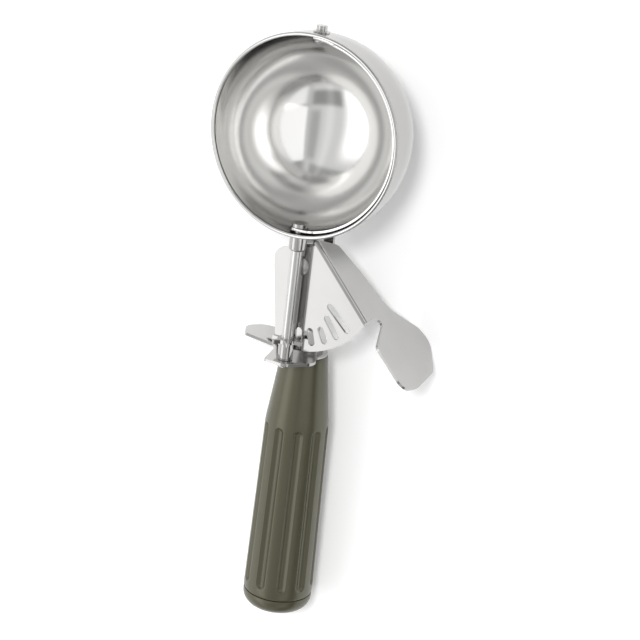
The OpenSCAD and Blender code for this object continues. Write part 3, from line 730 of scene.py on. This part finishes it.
# %% Shaft
shaft_low, shaft_high = [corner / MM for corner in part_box("scraper_shaft")]
SHAFT = 2.2
JOURNAL = 1.6
SHAFT_CHAMFER = 0.4
SHOULDER = -42.4
SHOULDER_CHAMFER = 0.15
GROOVE = (-86.56, -85.9)
GROOVE_SLOPE = 0.02
MIDDLE_RINGS = (-75.0, -60.0)
SHAFT_COLUMNS = 96
shaft_profile = [
    [SHAFT - SHAFT_CHAMFER, shaft_low.y],
    [SHAFT, shaft_low.y + SHAFT_CHAMFER],
    [SHAFT, GROOVE[0]],
    [JOURNAL, GROOVE[0] + GROOVE_SLOPE],
    [JOURNAL, GROOVE[1]],
    [SHAFT, GROOVE[1] + GROOVE_SLOPE],
    *[[SHAFT, y] for y in MIDDLE_RINGS],
    [SHAFT, SHOULDER - SHOULDER_CHAMFER],
    [SHAFT - SHOULDER_CHAMFER, SHOULDER],
    [JOURNAL, SHOULDER],
    [JOURNAL, shaft_high.y],
]
shaft = turned("shaft_bar", shaft_profile, SHAFT_COLUMNS)
smooth(shaft, angle_deg=30)
dress(shaft, "scraper", "plated_steel", "scraper_shaft", finish=drawn_bar)

# %% [markdown]
# ## Sheet metal and small turned pieces
# The sheets, the fasteners and the other small turned pieces have exact solids already, so
# modelling them again would gain nothing. Each is a copy that keeps its solid's outline and asks
# for a bevel of between 0.06 and 0.2 mm. The lever has points so close together that nothing is
# left of its bevel, and next to nothing of the upright's. The finger plate, the pinion and the
# two pivot pins keep a part, and the other pieces keep all of it.

# %% Sheet metal and fasteners
for node, body, slot_name, edge_mm in (
    ("thumb_lever", "lever", "plated_steel", 0.16),
    ("frame_upright", "frame", "plated_steel", 0.18),
    ("finger_plate", "frame", "plated_steel", 0.18),
    ("shaft_bushing", "frame", "plated_steel", 0.12),
    ("star_pinion", "scraper", "plated_steel", 0.10),
    ("pivot_spacer", "frame", "plated_steel", 0.10),
    ("handle_ferrule", "frame", "plated_steel", 0.20),
    ("top_pivot_pin", "frame", "rivet_steel", 0.15),
    ("top_pin_washer", "frame", "rivet_steel", 0.08),
    ("blade_nut", "scraper", "rivet_steel", 0.15),
    ("shaft_washer", "scraper", "rivet_steel", 0.06),
    ("shaft_retaining_ring", "scraper", "rivet_steel", 0.08),
    ("lever_pivot_pin", "frame", "rivet_steel", 0.12),
    ("lever_washer", "frame", "rivet_steel", 0.06),
):
    rounded_copy(node, body, slot_name, edge_mm)

# %% [markdown]
# ## The return spring
# The spring is drawn wire: an arm that bears on the lever, four turns round the pivot's spacer,
# and a tail that hooks through the finger plate. A curve with a round section is the natural way
# to make wire. The turns are worked out by a loop.

# %% Where the spring sits
WIRE = 0.55
COIL = 4.15
COIL_PITCH = 1.45
COIL_TURNS = 4
STEPS_PER_TURN = 28
SPRING_FRONT = -6.6
ARM_SEAT = 9.4
ARM_ANGLE = math.radians(30)
ARM_END = 3.0
FOLD_ANGLE = math.radians(42.4)
ANCHOR = Vector((-15.2, -15.3))
FOOT_RUN = 5.4
FOOT_GAP = 0.03
PLATE_T = 1.2
pivot_low, pivot_high = [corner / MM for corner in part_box("pivot_spacer")]
pivot = Vector((0, (pivot_low.y + pivot_high.y) / 2, 0))
plate_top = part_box("finger_plate")[1].y / MM
print("spring pivot at y in mm:", round(pivot.y, 2), "and plate top at", round(plate_top, 2))

# %% Arm and turns
fold_out = Vector((math.cos(FOLD_ANGLE), math.sin(FOLD_ANGLE), 0))
fold_down = Vector((math.sin(FOLD_ANGLE), -math.cos(FOLD_ANGLE), 0))
front = Vector((0, 0, SPRING_FRONT))
leave = FOLD_ANGLE + ARM_ANGLE
run = (ARM_SEAT - COIL * math.cos(ARM_ANGLE)) / math.sin(ARM_ANGLE)
reach = run * math.cos(ARM_ANGLE) - COIL * math.sin(ARM_ANGLE)
arm_steps = (ARM_END, ARM_END / 2, 0)
route = [ARM_SEAT * fold_out + (reach + step) * fold_down + front for step in arm_steps]

foot = Vector((ANCHOR.x + FOOT_RUN, plate_top - pivot.y + WIRE + FOOT_GAP))
arrive = math.atan2(foot.y, foot.x) + 2 * math.pi - math.acos(COIL / foot.length)
sweep = arrive - leave + 2 * math.pi * COIL_TURNS
turns = round(STEPS_PER_TURN * sweep / (2 * math.pi))
for k in range(turns + 1):
    angle = leave + sweep * k / turns
    drop = COIL_PITCH * sweep / (2 * math.pi) * k / turns
    route.append(Vector((COIL * math.cos(angle), COIL * math.sin(angle), SPRING_FRONT - drop)))
print("turns of the coil:", round(sweep / (2 * math.pi), 2))

# %% [markdown]
# The tail comes down to the plate, bends onto it, runs to the hole and turns down through the
# plate. Its bends follow no rule, so its points are set one by one from the foot and the hole,
# in millimetres.

# %% Tail
foot_z = ANCHOR.y + 0.35 * FOOT_RUN
route += [
    Vector((foot.x + 0.2, foot.y + 3, foot_z + 0.6)),
    Vector((foot.x, foot.y + 0.9, foot_z + 0.2)),
    Vector((foot.x - 0.9, foot.y, foot_z - 0.2)),
    Vector((ANCHOR.x + 0.7, foot.y, ANCHOR.y + 0.2)),
    Vector((ANCHOR.x, foot.y - 0.7, ANCHOR.y)),
    Vector((ANCHOR.x, foot.y - WIRE - PLATE_T - 0.4, ANCHOR.y)),
]
print("points on the spring's route:", len(route))

# %% Return spring
bpy.ops.object.select_all(action="DESELECT")
bpy.ops.curve.primitive_nurbs_path_add()
spring = bpy.context.active_object
spring.name = "spring_coil"
spring.data.splines.clear()
spline = spring.data.splines.new("NURBS")
spline.points.add(len(route) - 1)
for point, place in zip(spline.points, route):
    point.co = (*((place + pivot) * MM), 1)
spline.order_u = 3
spline.use_endpoint_u = True
spline.resolution_u = 3
spring.data.dimensions = "3D"
spring.data.bevel_depth = WIRE * MM
spring.data.bevel_resolution = 4
spring.data.use_fill_caps = True
bpy.ops.object.convert(target="MESH")
spring = bpy.context.active_object
bpy.ops.object.transform_apply(location=True, rotation=True, scale=True)
smooth(spring, angle_deg=40)
spring.data.materials.clear()
spring.data.materials.append(spring_wire)
print("spring of", len(spring.data.polygons), "faces")

# %% The spring in place of its solid
BLEND_FROM = 5.2
BLEND_TO = 11
arm_seat, coil_exit = route[0], route[len(arm_steps)]
arm_way = (arm_seat - coil_exit).normalized()
arm_way.z = 0
blend_start, blend_end = (coil_exit + pivot + far * arm_way for far in (BLEND_FROM, BLEND_TO))
blend_start * MM
blend_end * MM
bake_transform(spring)
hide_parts("return_spring")
print("the arm turns with the lever from", BLEND_FROM, "to", BLEND_TO, "mm along it")

# %% [markdown]
# ## The grip
# The grip swells from a thin neck over a shoulder to its end, with ten round-ended flutes pressed
# into it and a socket in its end for the cap. Its rings are extruded like any turned piece. They
# stand close together where a flute ends, so that the end can be round.

# %% The grip's section
GRIP_TOP = -86.1
GRIP_SHOULDER = -113.5
GRIP_END = -184.0
GRIP_AXIS_Z = -16.8
TOP_RADIUS = 8.7
SHOULDER_RADIUS = 12.0
SHOULDER_EASE = 12
END_RADIUS = 13.4
SOCKET_RADIUS = 8.05
SOCKET_TOP = GRIP_END + 6.3
SOCKET_EDGE = 0.4
FLUTE_HIGH = GRIP_SHOULDER - 2.0
FLUTE_LOW = GRIP_END + 5.5
FLUTE_END_STEPS = (-1.2, -0.4, 0.4, 0.9, 1.3, 1.6, 1.85, 2.3)
FLUTE_MIDDLE_STEPS = 9
NECK_STEPS = (2.5, 5, 7.5, 11, 16, 21, 25)


def taper(y):
    """The straight taper from the shoulder to the end."""
    slope = (END_RADIUS - SHOULDER_RADIUS) / (GRIP_END - GRIP_SHOULDER)
    return SHOULDER_RADIUS + (y - GRIP_SHOULDER) * slope


def grip_radius(y):
    """The taper, eased at the shoulder into the steeper neck."""
    slope = (TOP_RADIUS - SHOULDER_RADIUS) / (GRIP_TOP - GRIP_SHOULDER)
    neck = SHOULDER_RADIUS + (y - GRIP_SHOULDER) * slope
    t = min(1, max(0, (y - GRIP_SHOULDER) / SHOULDER_EASE + 0.5))
    t = t * t * (3 - 2 * t)
    return taper(y) * (1 - t) + neck * t


print("grip's radius at its shoulder in mm:", round(grip_radius(GRIP_SHOULDER), 2))

# %% Grip body
GRIP_COLUMNS = 200
grip_middle = (0, 0, GRIP_AXIS_Z)
flute_step = (FLUTE_HIGH - FLUTE_LOW) / FLUTE_MIDDLE_STEPS
grip_rows = [
    *[FLUTE_LOW - step for step in reversed(FLUTE_END_STEPS)],
    *[FLUTE_LOW + flute_step * k for k in range(1, FLUTE_MIDDLE_STEPS)],
    *[FLUTE_HIGH + step for step in FLUTE_END_STEPS],
    *[GRIP_SHOULDER + step for step in NECK_STEPS],
]
grip_profile = [
    # the socket, from its top to its mouth
    [SOCKET_RADIUS - SOCKET_EDGE, SOCKET_TOP],
    [SOCKET_RADIUS, SOCKET_TOP],
    [SOCKET_RADIUS, SOCKET_TOP - SOCKET_EDGE],
    [SOCKET_RADIUS, GRIP_END + SOCKET_EDGE],
    [SOCKET_RADIUS, GRIP_END],
    [SOCKET_RADIUS + SOCKET_EDGE, GRIP_END],
    # the rounded edge at the end, the side, and the rounded edge at the top
    [END_RADIUS - 0.6, GRIP_END],
    [END_RADIUS - 0.15, GRIP_END + 0.3],
    [END_RADIUS, GRIP_END + 0.9],
    *[[grip_radius(y), y] for y in grip_rows],
    [TOP_RADIUS, GRIP_TOP - 0.6],
    [TOP_RADIUS - 0.05, GRIP_TOP - 0.15],
    [TOP_RADIUS - 0.4, GRIP_TOP],
]
grip = turned("grip_body", grip_profile, GRIP_COLUMNS, centre=grip_middle)
print("rings of the grip:", len(grip_profile))

# %% [markdown]
# ### The flutes
# Each flute is the hollow that a round-ended rod would press into the taper. Cutting ten rods out
# of the mesh would leave long thin faces that shade badly. The columns of points that lie in a
# flute are drawn in towards the axis instead, ring by ring, and a subdivision rounds the flutes'
# edges as a mould does.

# %% How deep a flute is
FLUTES = 10
FLUTE_TURN = -6
FLUTE_RADIUS = 2.1
FLUTE_DEPTH = 1.15
FLUTE_REACH = 3
NO_FLUTE = END_RADIUS * 2


def flute_floor(y, angle):
    """How far from the axis the flute's floor lies at this row and this angle from its middle."""
    past = max(0, y - FLUTE_HIGH, FLUTE_LOW - y)
    aside = taper(y) * math.sin(angle)
    room = FLUTE_RADIUS**2 - aside**2 - past**2
    return taper(y) + FLUTE_RADIUS - FLUTE_DEPTH - math.sqrt(room) if room > 0 else NO_FLUTE


print("deepest the flutes go in mm:", round(taper(FLUTE_LOW) - flute_floor(FLUTE_LOW, 0), 2))

# %% Flutes
column = 2 * math.pi / GRIP_COLUMNS
per_flute = GRIP_COLUMNS // FLUTES
bpy.ops.object.mode_set(mode="EDIT")
bpy.ops.mesh.select_mode(type="VERT")
bpy.ops.mesh.select_all(action="DESELECT")
mesh = bmesh.from_edit_mesh(grip.data)
rows = {}
for vertex in mesh.verts:
    x, z = vertex.co.x, vertex.co.z - GRIP_AXIS_Z * MM
    if math.hypot(x, z) > MM:
        place = round(math.atan2(x, z) / column) % per_flute
        key = (round(vertex.co.y / MM, 3), min(place, per_flute - place))
        rows.setdefault(key, []).append(vertex)
pressed = 0
for (y, place), vertices in rows.items():
    ratio = flute_floor(y, place * column) / grip_radius(y)
    if ratio < 1 and FLUTE_LOW - FLUTE_REACH < y < FLUTE_HIGH + FLUTE_REACH:
        bpy.ops.mesh.select_all(action="DESELECT")
        for vertex in vertices:
            vertex.select_set(True)
        mesh.select_flush_mode()
        row_middle = (0, y * MM, GRIP_AXIS_Z * MM)
        bpy.ops.transform.resize(value=(ratio, 1, ratio), center_override=row_middle)
        pressed += 1
print("flute rows pressed in:", pressed)

# %% The grip's turn and finish
bpy.ops.mesh.select_all(action="SELECT")
# With no window the operator turns the other way, so the angle has its sign changed.
bpy.ops.transform.rotate(
    value=-math.radians(FLUTE_TURN),
    orient_axis="Y",
    center_override=(0, 0, GRIP_AXIS_Z * MM),
)
bpy.ops.object.mode_set(mode="OBJECT")
apply_modifier(grip, "SUBSURF", levels=1, render_levels=1, use_limit_surface=False)
smooth(grip, angle_deg=45)
dress(grip, "frame", "grip_plastic", "handle_grip")

# %% [markdown]
# ## The end cap
# The cap closes the grip and is moulded apart from it, so a fine joint shows between them. Its
# edge is a large round, its middle is flat, and a spigot inside holds it in the grip's socket.
# Like the grip it is turned from its section.

# %% End cap
CAP_LENGTH = 6.6
CAP_ROUND = 5.0
CAP_ROUND_STEPS = 14
CAP_JOINT = 0.05
CAP_COLUMNS = 160
SPIGOT = 8.0
SPIGOT_TOP = 6.0
SPIGOT_EDGE = 0.3
cap_radius = END_RADIUS - 0.1
cap_bottom = GRIP_END - CAP_LENGTH
round_middle = cap_radius - CAP_ROUND
cap_arc = [math.radians(90 * k / CAP_ROUND_STEPS) for k in range(CAP_ROUND_STEPS + 1)]
cap_profile = [
    # the flat bottom and its round
    [2.0, cap_bottom],
    [round_middle - 1.5, cap_bottom],
    *[
        [round_middle + CAP_ROUND * math.sin(a), cap_bottom + CAP_ROUND - CAP_ROUND * math.cos(a)]
        for a in cap_arc
    ],
    # the edge at the joint, and the spigot
    [cap_radius, GRIP_END - 0.35],
    [cap_radius - 0.1, GRIP_END - 0.12],
    [cap_radius - 0.4, GRIP_END - CAP_JOINT],
    [SPIGOT, GRIP_END - CAP_JOINT],
    [SPIGOT, GRIP_END + SPIGOT_TOP - SPIGOT_EDGE],
    [SPIGOT - SPIGOT_EDGE, GRIP_END + SPIGOT_TOP],
]
cap = turned("end_cap", cap_profile, CAP_COLUMNS, centre=grip_middle)
smooth(cap, angle_deg=35)
dress(cap, "frame", "grip_plastic", "handle_end_cap")
